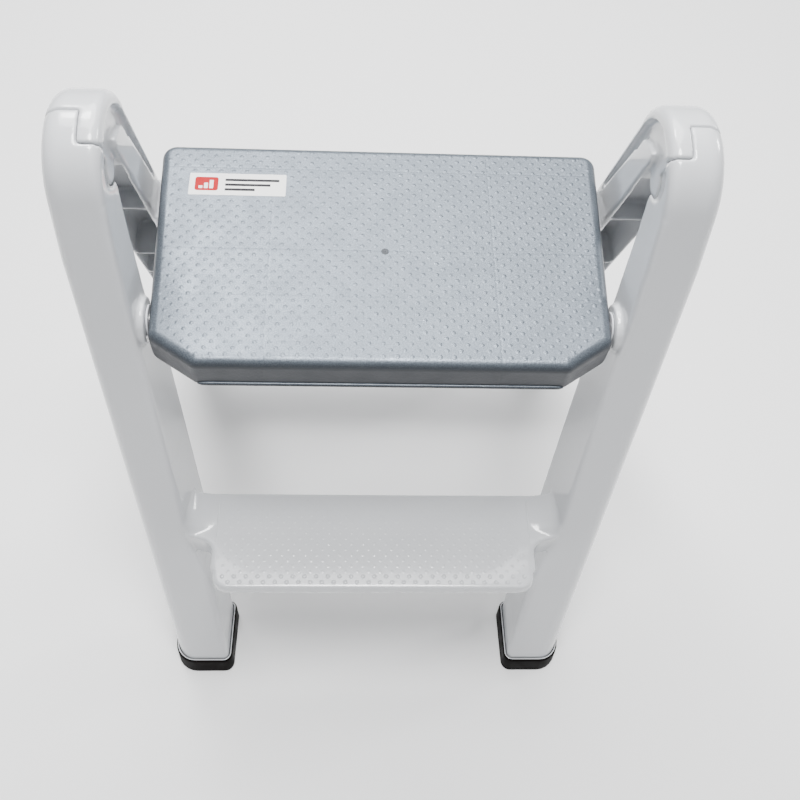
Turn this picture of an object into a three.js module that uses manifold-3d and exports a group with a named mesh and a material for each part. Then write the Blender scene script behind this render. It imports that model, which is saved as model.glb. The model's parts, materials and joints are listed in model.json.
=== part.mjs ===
// Folding two-step stool: a front frame with the lower step moulded in, a rear frame
// hinged to it inside the two hand knuckles, and a top step that pivots between the front legs.
// Millimetres. X is to the right, Y to the back, Z up. The floor is z = 0.

import * as THREE from 'three';
import { mergeGeometries, mergeVertices } from 'three/addons/utils/BufferGeometryUtils.js';
import Module from 'manifold-3d';

const wasm = await Module();
wasm.setup();

// ---- driving dimensions -------------------------------------------------------------

const rad = Math.PI / 180;
const frontLean = 16 * rad;         // front legs from the vertical
const rearLean = 20 * rad;          // rear legs from the vertical
const knuckleRadius = 52;           // rounded hand knuckles at the top of the legs
const hingeHeight = 548;            // axis between the two frames
const knuckleInner = 187;           // half-width between the knuckles
const knuckleOuter = 227;           // half-width over the knuckles
const knuckleEdge = 8;              // edge rounding of the knuckles
const lapGap = 0.6;                 // running gap between the two halves of a knuckle
const lapMiddle = 202;              // plane where the front half of the knuckle begins
const coreRadius = 36;              // outer half's disc round each hinge pin
const hubRadius = 12;               // inner half's hub round the pin
const innerSeam = 117 * rad;        // where the rear band meets the front leg, inner half
const outerSeam = 89 * rad;         // the same on the outer half, higher up
const hingeBore = 7.06;
const hingePinRadius = 7;

const footInner = 148;              // half-width between the front feet
const footOuter = 203.5;            // half-width over the front feet
const fullWidthHeight = 515;        // the front legs reach their full width here
const frontLegUpperDepth = 42;
const frontLegLowerDepth = 58;
const rearLegFrontOffset = 10;      // rear leg's faces, behind the hinge line
const rearLegBackOffset = 51;
const wall = 3.4;

const topTread = 463;
const topSkirt = 30;
const topDepth = 215;
const topFrontHalf = 174;
const topBackHalf = 182;
const topBack = 87;
const frontChamferX = 35;
const frontChamferY = 24;
const treadSkin = 3.5;
const topRib = 2.4;

const labelLeft = -156;
const labelWidth = 78;
const labelFront = 31;
const labelDepth = 23;
const labelInset = 0.5;

const lowTread = 229;
const lowThickness = 34;
const lowRib = 3;
const lowHalf = 149;
const lowFront = -219;
const lowDepth = 90;
const lowUndercut = 10;             // the nose slopes back by this much going down

const pivotHeight = 447;            // top step's pivot, behind the front face of the leg
const pivotSetback = 23;
const pivotBossFace = 177.5;
const pivotBossRadius = 19;
const pivotPinEnd = 196.4;
const pivotPinRadius = 6;
const pivotBore = 6.06;

const shoeHeight = 17;
const shoeWall = 3.5;
const soleThickness = 4;
const fitGap = 0.3;

// ---- worked-out places --------------------------------------------------------------

// How far each leg reaches from the hinge line at the floor; the footprint is centred on y = 0.
function reach(lean, offset) {
  return offset / Math.cos(lean) + hingeHeight * Math.tan(lean);
}
const hingeY = (reach(frontLean, knuckleRadius) - reach(rearLean, rearLegBackOffset)) / 2;

function frontLegY(offset, z) {
  return hingeY - offset / Math.cos(frontLean) - (hingeHeight - z) * Math.tan(frontLean);
}

function rearLegY(offset, z) {
  return hingeY + offset / Math.cos(rearLean) + (hingeHeight - z) * Math.tan(rearLean);
}

const pivotY = frontLegY(knuckleRadius - pivotSetback, pivotHeight);
const topUnderside = topTread - topSkirt;

function frontLegInner(z) {
  return THREE.MathUtils.lerp(footInner, knuckleInner, Math.min(z / hingeHeight, 1));
}

function frontLegOuter(z) {
  return THREE.MathUtils.lerp(footOuter, knuckleOuter, Math.min(z / fullWidthHeight, 1));
}

// ---- solids -------------------------------------------------------------------------

function toSolid(geometry) {
  const bare = new THREE.BufferGeometry();
  bare.setAttribute('position', geometry.getAttribute('position'));
  bare.setIndex(geometry.getIndex());
  const welded = mergeVertices(bare, 1e-4);
  return new wasm.Manifold(new wasm.Mesh({
    numProp: 3,
    vertProperties: Float32Array.from(welded.getAttribute('position').array),
    triVerts: Uint32Array.from(welded.getIndex().array),
  }));
}

function toGeometry(solid) {
  const mesh = solid.getMesh();
  const geometry = new THREE.BufferGeometry();
  geometry.setAttribute('position', new THREE.BufferAttribute(Float32Array.from(mesh.vertProperties), 3));
  geometry.setIndex(new THREE.BufferAttribute(Uint32Array.from(mesh.triVerts), 1));
  return geometry;
}

function join(...solids) {
  return solids.reduce((whole, piece) => whole.add(piece));
}

function cut(solid, ...tools) {
  return tools.reduce((rest, tool) => rest.subtract(tool), solid);
}

// The same solid on the other side of the plane x = 0.
function mirrored(solid) {
  const geometry = toGeometry(solid);
  geometry.scale(-1, 1, 1);
  const index = geometry.getIndex();
  for (let corner = 0; corner < index.count; corner += 3) {
    const second = index.getX(corner + 1);
    index.setX(corner + 1, index.getX(corner + 2));
    index.setX(corner + 2, second);
  }
  return toSolid(geometry);
}

function box(x0, x1, y0, y1, z0, z1) {
  const geometry = new THREE.BoxGeometry(x1 - x0, y1 - y0, z1 - z0);
  geometry.translate((x0 + x1) / 2, (y0 + y1) / 2, (z0 + z1) / 2);
  return toSolid(geometry);
}

// A cylinder along X.
function rod(radius, x0, x1, y, z, sides = 48) {
  const geometry = new THREE.CylinderGeometry(radius, radius, x1 - x0, sides);
  geometry.rotateZ(-Math.PI / 2);
  geometry.translate((x0 + x1) / 2, y, z);
  return toSolid(geometry);
}

// A side-view shape, drawn in Y and Z, run along X.
function sidePlate(shape, x0, x1, edge = 0) {
  const geometry = new THREE.ExtrudeGeometry(shape, {
    depth: x1 - x0 - 2 * edge,
    bevelEnabled: edge > 0,
    bevelSize: edge,
    bevelThickness: edge,
    bevelOffset: -edge,
    bevelSegments: 3,
    curveSegments: 28,
  });
  geometry.translate(0, 0, x0 + edge);
  const turn = new THREE.Matrix4().makeBasis(
    new THREE.Vector3(0, 1, 0), new THREE.Vector3(0, 0, 1), new THREE.Vector3(1, 0, 0));
  geometry.applyMatrix4(turn);
  return toSolid(geometry);
}

function disc(radius) {
  const shape = new THREE.Shape();
  shape.absarc(hingeY, hingeHeight, radius, 0, 2 * Math.PI, false);
  return shape;
}

// A pie slice round the hinge axis, from one angle to another.
function slice(fromAngle, toAngle) {
  const shape = new THREE.Shape();
  const reachOut = 2 * knuckleRadius;
  shape.moveTo(hingeY, hingeHeight);
  shape.lineTo(hingeY + reachOut * Math.cos(fromAngle), hingeHeight + reachOut * Math.sin(fromAngle));
  shape.absarc(hingeY, hingeHeight, reachOut, fromAngle, toAngle, false);
  return shape;
}

function polygon(points) {
  return new THREE.Shape(points.map(([across, up]) => new THREE.Vector2(across, up)));
}

// A rounded rectangle in X and Y, anticlockwise. radii start at the low corner.
function roundedRectangle(x0, x1, y0, y1, radii, steps = 4) {
  const corners = [
    [x0, y0, 1, 1, Math.PI],
    [x1, y0, -1, 1, 1.5 * Math.PI],
    [x1, y1, -1, -1, 0],
    [x0, y1, 1, -1, 0.5 * Math.PI],
  ];
  const outline = [];
  corners.forEach(([x, y, inX, inY, start], corner) => {
    const radius = radii[corner];
    for (let step = 0; step <= steps; step += 1) {
      const angle = start + step / steps * Math.PI / 2;
      outline.push([
        x + inX * radius + radius * Math.cos(angle),
        y + inY * radius + radius * Math.sin(angle),
      ]);
    }
  });
  return outline;
}

// A solid through level outlines that all have the same number of points.
function loft(levels) {
  const positions = [];
  const index = [];
  const count = levels[0].outline.length;
  levels.forEach(({ z, outline }) => outline.forEach(([x, y]) => positions.push(x, y, z)));
  for (let level = 0; level + 1 < levels.length; level += 1) {
    for (let point = 0; point < count; point += 1) {
      const a = level * count + point;
      const b = level * count + (point + 1) % count;
      index.push(a, b, a + count, b, b + count, a + count);
    }
  }
  const last = (levels.length - 1) * count;
  for (let point = 1; point + 1 < count; point += 1) {
    index.push(0, point + 1, point);
    index.push(last, last + point, last + point + 1);
  }
  const geometry = new THREE.BufferGeometry();
  geometry.setAttribute('position', new THREE.Float32BufferAttribute(positions, 3));
  geometry.setIndex(index);
  return toSolid(geometry);
}

// ---- legs ---------------------------------------------------------------------------

const frontLegOuterRadius = 14;
const rearLegRadii = [4, 8, 12, 6];

function frontLegDepth(z) {
  return THREE.MathUtils.lerp(frontLegLowerDepth, frontLegUpperDepth,
    THREE.MathUtils.smoothstep(z, 385, 425));
}

function frontLegOutline(z, grow) {
  const front = frontLegY(knuckleRadius, z);
  const depth = frontLegDepth(z) / Math.cos(frontLean);
  const innerFrontRadius = THREE.MathUtils.lerp(13, 5, Math.min(z / hingeHeight, 1));
  return roundedRectangle(frontLegInner(z) - grow, frontLegOuter(z) + grow,
    front - grow, front + depth + grow, [innerFrontRadius, frontLegOuterRadius, 8, 4]);
}

function rearLegOutline(z, grow) {
  return roundedRectangle(knuckleInner - grow, knuckleOuter + grow,
    rearLegY(rearLegFrontOffset, z) - grow, rearLegY(rearLegBackOffset, z) + grow, rearLegRadii);
}

function leg(outline, heights) {
  return loft(heights.map((z) => ({ z, outline: outline(z, 0) })));
}

// The leg's open channel: pockets with cross ribs between them, cut from one face.
function channel(bottom, top, pitch, faces) {
  const rib = 2.6;
  const pockets = [];
  const count = Math.round((top - bottom) / pitch);
  const step = (top - bottom) / count;
  for (let pocket = 0; pocket < count; pocket += 1) {
    const low = bottom + pocket * step;
    pockets.push(loft([low, low + step - rib].map((z) => {
      const [x0, x1, y0, y1] = faces(z);
      return { z, outline: roundedRectangle(x0, x1, y0, y1, [3, 3, 3, 3], 1) };
    })));
  }
  return pockets;
}

// The knuckle that both frames share, before it is divided between them.
function wholeKnuckle() {
  return sidePlate(disc(knuckleRadius), knuckleInner, knuckleOuter, knuckleEdge);
}

const pinHeadRadius = 13;
const hubDishRadius = 18;             // the sunk panel's round end, over the hub
const panelRadius = 41;               // the panel's edge along the band
const panelSetback = 3;
const slitOffset = 34;                // the slit that the panel ends in, beside the leg's box section
const slitBack = 44;
const slitEnd = 118;
const dishDepth = 5;
const dishFloor = knuckleInner + dishDepth;
const washerRadius = 11.5;
const washerThickness = 1.6;
const washerRecess = lapMiddle + washerThickness;
const capRadius = 15.6;
const capFloor = 216;
const headFloor = 211.7;              // recess for the pin's head, under the cap
const pinTip = 196.6;
const legTop = 559;                   // the legs end inside the knuckle

// ---- front frame --------------------------------------------------------------------

function frontKnuckle() {
  const outerHalf = sidePlate(disc(coreRadius), lapMiddle, knuckleOuter)
    .add(sidePlate(slice(outerSeam, Math.PI), lapMiddle, knuckleOuter));
  const innerHalf = sidePlate(slice(innerSeam, Math.PI), knuckleInner, lapMiddle);
  return wholeKnuckle().intersect(outerHalf.add(innerHalf));
}

// The opening in the front leg's inner side for the hub. It widens forward into a cove.
function hubSeat() {
  const radius = hubRadius + 1;
  const seat = rod(radius, knuckleInner - 4, lapMiddle, hingeY, hingeHeight);
  const mouth = rod(radius + 3, knuckleInner - 1, knuckleInner, hingeY - 16, hingeHeight + 19);
  const bottom = rod(radius, dishFloor, dishFloor + 1, hingeY, hingeHeight);
  return seat.add(wasm.Manifold.hull([mouth, bottom]));
}

function frontLeg() {
  const heights = [soleThickness + fitGap, 385, 395, 405, 415, 425, fullWidthHeight, legTop];
  const solid = leg(frontLegOutline, heights).add(frontKnuckle());
  const back = (z, offset) => frontLegY(knuckleRadius, z) + frontLegDepth(z) / Math.cos(frontLean) + offset;
  const faces = (z) => [
    frontLegInner(z) + wall, frontLegOuter(z) - wall,
    frontLegY(knuckleRadius, z) + wall + 1, back(z, 12),
  ];
  const boss = rod(pivotBossRadius, pivotBossFace, frontLegInner(pivotHeight) + 6, pivotY, pivotHeight);
  return cut(solid.add(boss),
    ...channel(22, 424, 57, faces),
    ...channel(468, 506, 38, faces),
    hubSeat(),
    rod(washerRadius + fitGap, lapMiddle - 1, washerRecess, hingeY, hingeHeight),
    rod(hingeBore, lapMiddle - 1, headFloor + 1, hingeY, hingeHeight),
    rod(capRadius + fitGap, headFloor, knuckleOuter + 1, hingeY, hingeHeight),
    rod(pivotBore, pivotBossFace - 1, pivotPinEnd + 0.6, pivotY, pivotHeight, 32));
}

function lowerStep() {
  const edge = 6;
  const back = lowFront + lowDepth;
  const radii = [14, 14, 3, 3];
  const outline = (inset, setback = 0) => roundedRectangle(-lowHalf + inset, lowHalf - inset,
    lowFront + inset + setback, back, radii);
  const under = lowTread - lowThickness;
  const tread = loft([
    { z: under, outline: outline(1, lowUndercut) },
    { z: lowTread - edge, outline: outline(0) },
    { z: lowTread - edge / 3, outline: outline(edge / 3) },
    { z: lowTread, outline: outline(edge) },
  ]);
  // The tread's ends run out to the legs in webs that widen towards the back.
  const webEnd = frontLegInner(lowTread) + 6;
  const legFront = frontLegY(knuckleRadius, lowTread);
  const web = loft([under, lowTread].map((z) => ({
    z,
    outline: [
      [lowHalf - 16, lowFront + 10],
      [lowHalf - 2, lowFront + 10],
      [lowHalf, legFront - 13],
      [lowHalf + 10, legFront - 7],
      [webEnd - 2, legFront - 2],
      [webEnd, legFront + 8],
      [webEnd, back],
      [lowHalf - 16, back],
    ],
  })));
  return join(tread, web, mirrored(web));
}

// Pockets under a tread, with ribs between them.
function ribbedPockets(columns, rows, bottom, ceiling, rib, keep) {
  const pockets = [];
  for (let column = 0; column + 1 < columns.length; column += 1) {
    for (let row = 0; row + 1 < rows.length; row += 1) {
      const x0 = columns[column] + rib / 2;
      const x1 = columns[column + 1] - rib / 2;
      if (keep(Math.max(Math.abs(x0), Math.abs(x1)), rows[row])) {
        pockets.push(box(x0, x1, rows[row] + rib / 2, rows[row + 1] - rib / 2, bottom, ceiling));
      }
    }
  }
  return pockets;
}

function evenly(from, to, parts) {
  return Array.from({ length: parts + 1 }, (_, mark) => THREE.MathUtils.lerp(from, to, mark / parts));
}

function frontFrame() {
  const right = frontLeg();
  const pockets = ribbedPockets(
    evenly(-lowHalf + wall, lowHalf - wall, 6),
    evenly(lowFront + lowUndercut + wall, lowFront + lowDepth - wall + 1, 2),
    lowTread - lowThickness - 1, lowTread - treadSkin, lowRib, () => true);
  return cut(join(right, mirrored(right), lowerStep()), ...pockets);
}

// ---- rear frame ---------------------------------------------------------------------

function rearKnuckle() {
  const seamGap = 0.8 / knuckleRadius;
  const innerHalf = sidePlate(disc(hubRadius), knuckleInner, lapMiddle - lapGap)
    .add(sidePlate(slice(0, innerSeam - seamGap), knuckleInner, lapMiddle - lapGap));
  const outerHalf = sidePlate(slice(0, outerSeam - seamGap), lapMiddle - lapGap, knuckleOuter);
  return wholeKnuckle().intersect(innerHalf.add(outerHalf));
}

// A prism on the inner side of the rear leg, from corners behind the hinge line and down the leg.
function rearLegPrism(corners, x0, x1) {
  return sidePlate(polygon(corners.map(([offset, down]) => [
    hingeY + offset * Math.cos(rearLean) + down * Math.sin(rearLean),
    hingeHeight + offset * Math.sin(rearLean) - down * Math.cos(rearLean),
  ])), x0, x1);
}

// The sunk panel on the inner side of the knuckle. It narrows to a slit down the leg,
// between the leg's box section and its back edge.
function knuckleDish() {
  const x0 = knuckleInner - 1;
  const round = rod(hubDishRadius, x0, dishFloor, hingeY, hingeHeight);
  const underBand = rod(panelRadius, x0, dishFloor, hingeY + panelSetback, hingeHeight - 1)
    .intersect(sidePlate(slice(-rearLean - Math.PI / 4, innerSeam + 4 * rad), x0, dishFloor));
  const boxFront = rearLegFrontOffset + 1;
  const boxSection = rearLegPrism([
    [boxFront, slitEnd],
    [boxFront, -6],
    [boxFront + 4, -12],
    [slitOffset - 7, -3],
    [slitOffset, 5],
    [slitOffset, slitEnd],
  ], x0, dishFloor);
  const slit = rearLegPrism(
    [[slitOffset, 0], [slitBack, 0], [slitBack, slitEnd], [slitBack - 2, slitEnd]], x0, dishFloor);
  return round.add(underBand).subtract(boxSection).add(slit);
}

function rearLeg() {
  const solid = leg(rearLegOutline, [soleThickness + fitGap, legTop]).add(rearKnuckle());
  const faces = (backOffset) => (z) => [
    knuckleInner + wall, knuckleOuter - wall,
    rearLegY(rearLegFrontOffset, z) - 12, rearLegY(backOffset, z),
  ];
  return cut(solid,
    ...channel(22, 346, 54, faces(rearLegBackOffset - wall)),
    ...channel(346, 452, 106, faces(rearLegBackOffset - wall)),
    ...channel(452, 518, 66, faces(slitOffset - wall)),
    knuckleDish(),
    rod(coreRadius + 1, lapMiddle - lapGap, knuckleOuter + 1, hingeY, hingeHeight),
    rod(hingeBore, pinTip - 0.4, lapMiddle + 1, hingeY, hingeHeight));
}

// A rail between the rear legs, leaning with them, ribbed on its front face.
function crossRail(bottom, top) {
  const halfLength = knuckleInner + 2;
  const body = loft([bottom, top].map((z) => ({
    z,
    outline: roundedRectangle(-halfLength, halfLength,
      rearLegY(rearLegFrontOffset, z), rearLegY(rearLegBackOffset, z), [1, 1, 1, 1], 1),
  })));
  const columns = evenly(-knuckleInner, knuckleInner, 7);
  const pockets = [];
  for (let column = 0; column + 1 < columns.length; column += 1) {
    pockets.push(loft([bottom + wall, top - wall].map((z) => ({
      z,
      outline: roundedRectangle(columns[column] + 1.5, columns[column + 1] - 1.5,
        rearLegY(rearLegFrontOffset, z) - 12, rearLegY(rearLegBackOffset, z) - wall, [3, 3, 3, 3], 1),
    }))));
  }
  return cut(body, ...pockets);
}

const upperRailTop = topUnderside - 0.7;

function rearFrame() {
  const right = rearLeg();
  return join(right, mirrored(right), crossRail(upperRailTop - 42, upperRailTop), crossRail(104, 146));
}

// ---- top step -----------------------------------------------------------------------

const topFront = topBack - topDepth;

function topOutline(inset) {
  const front = topFront + inset;
  const back = topBack - inset;
  const corner = 12;
  const right = [
    [topFrontHalf - frontChamferX, front],
    [topFrontHalf - inset, topFront + frontChamferY],
    [topBackHalf - inset, back - corner],
    [topBackHalf - inset - 0.3 * corner, back - 0.3 * corner],
    [topBackHalf - inset - corner, back],
  ];
  const left = right.map(([x, y]) => [-x, y]).reverse();
  return [...right, ...left];
}

function topStep() {
  const shell = loft([
    { z: topUnderside, outline: topOutline(2) },
    { z: topUnderside + 5, outline: topOutline(0) },
    { z: topTread - 8, outline: topOutline(0) },
    { z: topTread - 2.5, outline: topOutline(2) },
    { z: topTread, outline: topOutline(7) },
  ]);
  const side = pivotHeadInner + pivotHeadThickness + 0.3;
  const chamferEnd = topFront + frontChamferY;
  const rows = [topFront + wall, chamferEnd, -66, -22, 61, topBack - wall];
  const columns = [-side - 1, -132, -88, -44, 0, 44, 88, 132, side + 1];
  const clearOfChamfer = (reachX, row) => row >= chamferEnd || reachX < topFrontHalf - frontChamferX;
  const pockets = ribbedPockets(columns, rows,
    topUnderside - 1, topTread - treadSkin, topRib, clearOfChamfer);
  const bore = rod(pivotBore, side - 4, topBackHalf, pivotY, pivotHeight, 32);
  return cut(shell, ...pockets, bore, mirrored(bore), labelBox(labelInset, 1, fitGap));
}

// ---- small pieces of the right-hand side --------------------------------------------

const pivotHeadInner = 163;
const pivotHeadThickness = 4;

function hingePin() {
  const head = rod(pinHeadRadius, headFloor + fitGap, capFloor - fitGap, hingeY, hingeHeight);
  return head.add(rod(hingePinRadius, pinTip, headFloor + 1, hingeY, hingeHeight));
}

function hingeWasher() {
  const outer = rod(washerRadius, lapMiddle - 0.3, washerRecess - 0.3, hingeY, hingeHeight);
  return outer.subtract(rod(hingePinRadius + fitGap, lapMiddle - 2, washerRecess + 1, hingeY, hingeHeight));
}

function hingeCap() {
  const shape = new THREE.CylinderGeometry(capRadius - 1.2, capRadius, 1.2, 48);
  shape.rotateZ(-Math.PI / 2);
  shape.translate(knuckleOuter - 0.8, hingeY, hingeHeight);
  return toSolid(shape).add(rod(capRadius, capFloor, knuckleOuter - 1.4, hingeY, hingeHeight));
}

function stepPivotPin() {
  const headEnd = pivotHeadInner + pivotHeadThickness;
  return rod(10, pivotHeadInner, headEnd, pivotY, pivotHeight, 32)
    .add(rod(pivotPinRadius, headEnd - 1, pivotPinEnd, pivotY, pivotHeight, 32));
}

function stepPivotWasher() {
  const outer = rod(12, 175.9, 177.2, pivotY, pivotHeight, 32);
  return outer.subtract(rod(pivotPinRadius + fitGap, 174, 179, pivotY, pivotHeight, 32));
}

// A hook under the top step that drops in front of the rear frame's upper rail.
function stepCatch() {
  const nose = rearLegY(rearLegFrontOffset, upperRailTop) - 3.6;
  const profile = polygon([
    [nose - 9, topTread - treadSkin - 0.4],
    [nose - 9, topUnderside - 3],
    [nose - 5, topUnderside - 5],
    [nose, topUnderside - 5],
    [nose, topUnderside - 1.5],
    [nose - 3, topUnderside + 4],
    [nose - 3, topTread - treadSkin - 0.4],
  ]);
  return sidePlate(profile, 52, 80);
}

function shoe(outline) {
  const outside = loft([
    { z: 0, outline: outline(0, shoeWall - 0.8) },
    { z: 1.5, outline: outline(1.5, shoeWall) },
    { z: shoeHeight, outline: outline(shoeHeight, shoeWall) },
  ]);
  const socket = loft([soleThickness, shoeHeight + 1].map((z) => ({ z, outline: outline(z, fitGap) })));
  return outside.subtract(socket);
}

function labelBox(depth, lift, grow) {
  return box(labelLeft - grow, labelLeft + labelWidth + grow, labelFront - grow,
    labelFront + labelDepth + grow, topTread - depth, topTread + lift);
}

// The label lies in a shallow inset of the tread, level with it.
function labelPlate() {
  return labelBox(labelInset - 0.05, -0.03, 0);
}

// ---- the stool ----------------------------------------------------------------------

const frontPlastic = new THREE.MeshStandardMaterial({ color: 0xd9dde2, roughness: 0.28, metalness: 0 });
const rearPlastic = new THREE.MeshStandardMaterial({ color: 0xd9dde2, roughness: 0.28, metalness: 0 });
const greyPlastic = new THREE.MeshStandardMaterial({ color: 0x8f9ba6, roughness: 0.4, metalness: 0.15 });
const pinPlastic = new THREE.MeshStandardMaterial({ color: 0xb9bec4, roughness: 0.4, metalness: 0 });
const steel = new THREE.MeshStandardMaterial({ color: 0xa8abad, roughness: 0.35, metalness: 1 });
const rubber = new THREE.MeshStandardMaterial({ color: 0x1c1816, roughness: 0.75, metalness: 0 });
const paper = new THREE.MeshStandardMaterial({ color: 0xf2f2f0, roughness: 0.5, metalness: 0 });

const stool = new THREE.Group();

function addNode(name, solid, material) {
  const geometry = toGeometry(solid).toNonIndexed();
  geometry.computeVertexNormals();
  const node = new THREE.Mesh(geometry, material);
  node.name = name;
  stool.add(node);
}

function addPair(name, solid, material) {
  addNode(`${name}_right`, solid, material);
  addNode(`${name}_left`, mirrored(solid), material);
}

addNode('front_frame', frontFrame(), frontPlastic);
addNode('rear_frame', rearFrame(), rearPlastic);
addNode('top_step', topStep(), greyPlastic);
addPair('foot_front', shoe(frontLegOutline), rubber);
addPair('foot_rear', shoe(rearLegOutline), rubber);
addPair('hinge_pin', hingePin(), steel);
addPair('hinge_washer', hingeWasher(), pinPlastic);
addPair('hinge_cap', hingeCap(), frontPlastic);
addPair('step_pivot_pin', stepPivotPin(), steel);
addPair('step_pivot_washer', stepPivotWasher(), pinPlastic);
addPair('step_catch', stepCatch(), pinPlastic);
addNode('label_plate', labelPlate(), paper);

export default stool;
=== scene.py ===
"""A folding two-step plastic stool, standing open on a pale floor.

The two white frames are modelled as solids, joined and then remeshed, so that every edge and
junction is softly rounded like a moulding. The grey top step, the bumps on both treads, the
rubber shoes, the hinge caps and the label are built directly.
"""

import json
import math

import bmesh
import bpy
from mathutils import Matrix, Vector


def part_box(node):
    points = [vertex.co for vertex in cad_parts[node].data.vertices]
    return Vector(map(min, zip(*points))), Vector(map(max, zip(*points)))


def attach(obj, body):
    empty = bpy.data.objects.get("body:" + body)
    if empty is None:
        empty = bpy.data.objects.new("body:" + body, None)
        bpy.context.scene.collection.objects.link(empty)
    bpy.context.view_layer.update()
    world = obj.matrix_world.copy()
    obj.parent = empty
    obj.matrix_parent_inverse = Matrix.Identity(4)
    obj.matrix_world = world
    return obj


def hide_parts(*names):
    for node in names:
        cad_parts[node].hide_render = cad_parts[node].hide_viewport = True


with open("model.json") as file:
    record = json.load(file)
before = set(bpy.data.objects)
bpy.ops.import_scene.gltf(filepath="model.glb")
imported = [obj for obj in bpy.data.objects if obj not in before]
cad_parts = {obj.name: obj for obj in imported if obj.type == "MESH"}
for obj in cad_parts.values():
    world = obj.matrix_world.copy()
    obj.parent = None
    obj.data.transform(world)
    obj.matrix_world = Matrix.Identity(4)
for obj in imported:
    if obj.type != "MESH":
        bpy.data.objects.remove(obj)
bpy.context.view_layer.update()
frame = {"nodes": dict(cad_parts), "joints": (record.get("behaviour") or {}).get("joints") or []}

# ---- driving dimensions, in metres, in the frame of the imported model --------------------

MM = 0.001
JOINTS = {joint["name"]: joint for joint in frame["joints"]}
HINGE = Vector(JOINTS["rear_fold"]["pos_m"])
PIVOT = Vector(JOINTS["step_fold"]["pos_m"])
FRONT_LEAN = math.radians(16)
REAR_LEAN = math.radians(20)

KNUCKLE_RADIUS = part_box("rear_frame")[1].z - HINGE.z
KNUCKLE_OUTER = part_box("rear_frame")[1].x
KNUCKLE_INNER = 187 * MM
LAP_MIDDLE = 202 * MM              # plane between the two halves of a knuckle
LAP_GAP = 0.6 * MM
CORE_RADIUS = 36 * MM              # outer half's disc round the hinge pin
HUB_RADIUS = 12 * MM               # inner half's hub round the pin
PANEL_FLOOR = 192 * MM             # the sunk panel over the hub
INNER_SEAM = math.radians(117)
OUTER_SEAM = math.radians(89)

FOOT_INNER = 148 * MM
FOOT_OUTER = 203.5 * MM
FULL_WIDTH_HEIGHT = 515 * MM
UPPER_DEPTH = 42 * MM
LOWER_DEPTH = 58 * MM
DEPTH_STEP = (385 * MM, 425 * MM)  # heights between which the front leg's depth changes
FLARE = (125 * MM, 215 * MM)       # heights between which the front leg widens inwards
LEG_TOP = HINGE.z + 11 * MM        # the legs end inside the knuckles
BOSS_RADIUS = 18 * MM
BOSS_INNER = 177.6 * MM            # inner face of the bosses round the step's pivots
REAR_FRONT_OFFSET = 10 * MM
REAR_BACK_OFFSET = 51 * MM
WALL = 3.4 * MM
LEG_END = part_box("front_frame")[0].z
SHOE_WALL = 3.5 * MM
SHOE_LIP = 2.5 * MM                # a shoe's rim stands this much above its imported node
CHANNEL_BOTTOM = 22 * MM           # the open channels in the legs start here
FRONT_CHANNEL_TOP = 424 * MM
FRONT_POCKET_HEIGHTS = (468 * MM, 506 * MM)
REAR_CHANNEL_TOP = 346 * MM
REAR_POCKET_HEIGHTS = (346 * MM, 452 * MM)
BOX_POCKET_HEIGHTS = (452 * MM, 534 * MM)
BOX_BACK_OFFSET = 30 * MM          # the upper pocket of a rear leg is shallower

TOP_LOW, TOP_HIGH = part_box("top_step")
TREAD_TOP = TOP_HIGH.z
CHAMFER_X = 35 * MM                # the top step's front corners are cut off by this much
CHAMFER_Y = 24 * MM
FRONT_HALF = 174 * MM
TOP_RIB_PITCH = 44 * MM
TOP_RIB_ROWS = (-66 * MM, -22 * MM, 61 * MM)
TOP_SINK_COLUMNS = (-2 * TOP_RIB_PITCH, 2 * TOP_RIB_PITCH)

LOW_TREAD = 229 * MM
LOW_THICKNESS = 34 * MM
LOW_HALF = 148.5 * MM
LOW_FRONT_HALF = 145.5 * MM
LOW_FRONT = -219 * MM
LOW_UNDERCUT = 8 * MM              # the nose slopes back by this much going down
LOW_BACK = -125.5 * MM
LOW_NOSE = 8 * MM                  # radius of the nose's upper edge
LOW_UNDER = LOW_TREAD - LOW_THICKNESS
TREAD_LINE_X = 144 * MM            # where the coves meet the flat tread

BUMP_PITCH_X = 10.5 * MM
BUMP_PITCH_Y = 5.35 * MM

MOULDING_VOXEL = 1.35 * MM         # voxel size of the remeshed frames
MOULDING_PASSES = 3
MOULDING_TRIANGLES = 190_000


# ---- places on the leaning legs ---------------------------------------------------------

def front_leg_y(offset, z):
    return HINGE.y - offset / math.cos(FRONT_LEAN) - (HINGE.z - z) * math.tan(FRONT_LEAN)


def rear_leg_y(offset, z):
    return HINGE.y + offset / math.cos(REAR_LEAN) + (HINGE.z - z) * math.tan(REAR_LEAN)


def rear_leg_point(offset, down):
    """Y and Z of a point behind the hinge line and down the rear leg."""
    return (
        HINGE.y + offset * math.cos(REAR_LEAN) + down * math.sin(REAR_LEAN),
        HINGE.z + offset * math.sin(REAR_LEAN) - down * math.cos(REAR_LEAN),
    )


def mix(a, b, share):
    return a + (b - a) * share


def smooth_share(value, low, high):
    share = min(max((value - low) / (high - low), 0), 1)
    return share * share * (3 - 2 * share)


# ---- mesh tools -------------------------------------------------------------------------

def make_object(name, data):
    made = bpy.data.objects.new(name, data)
    bpy.context.scene.collection.objects.link(made)
    return made


def from_bmesh(name, shape):
    bmesh.ops.recalc_face_normals(shape, faces=shape.faces)
    mesh = bpy.data.meshes.new(name)
    shape.to_mesh(mesh)
    shape.free()
    return make_object(name, mesh)


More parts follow.
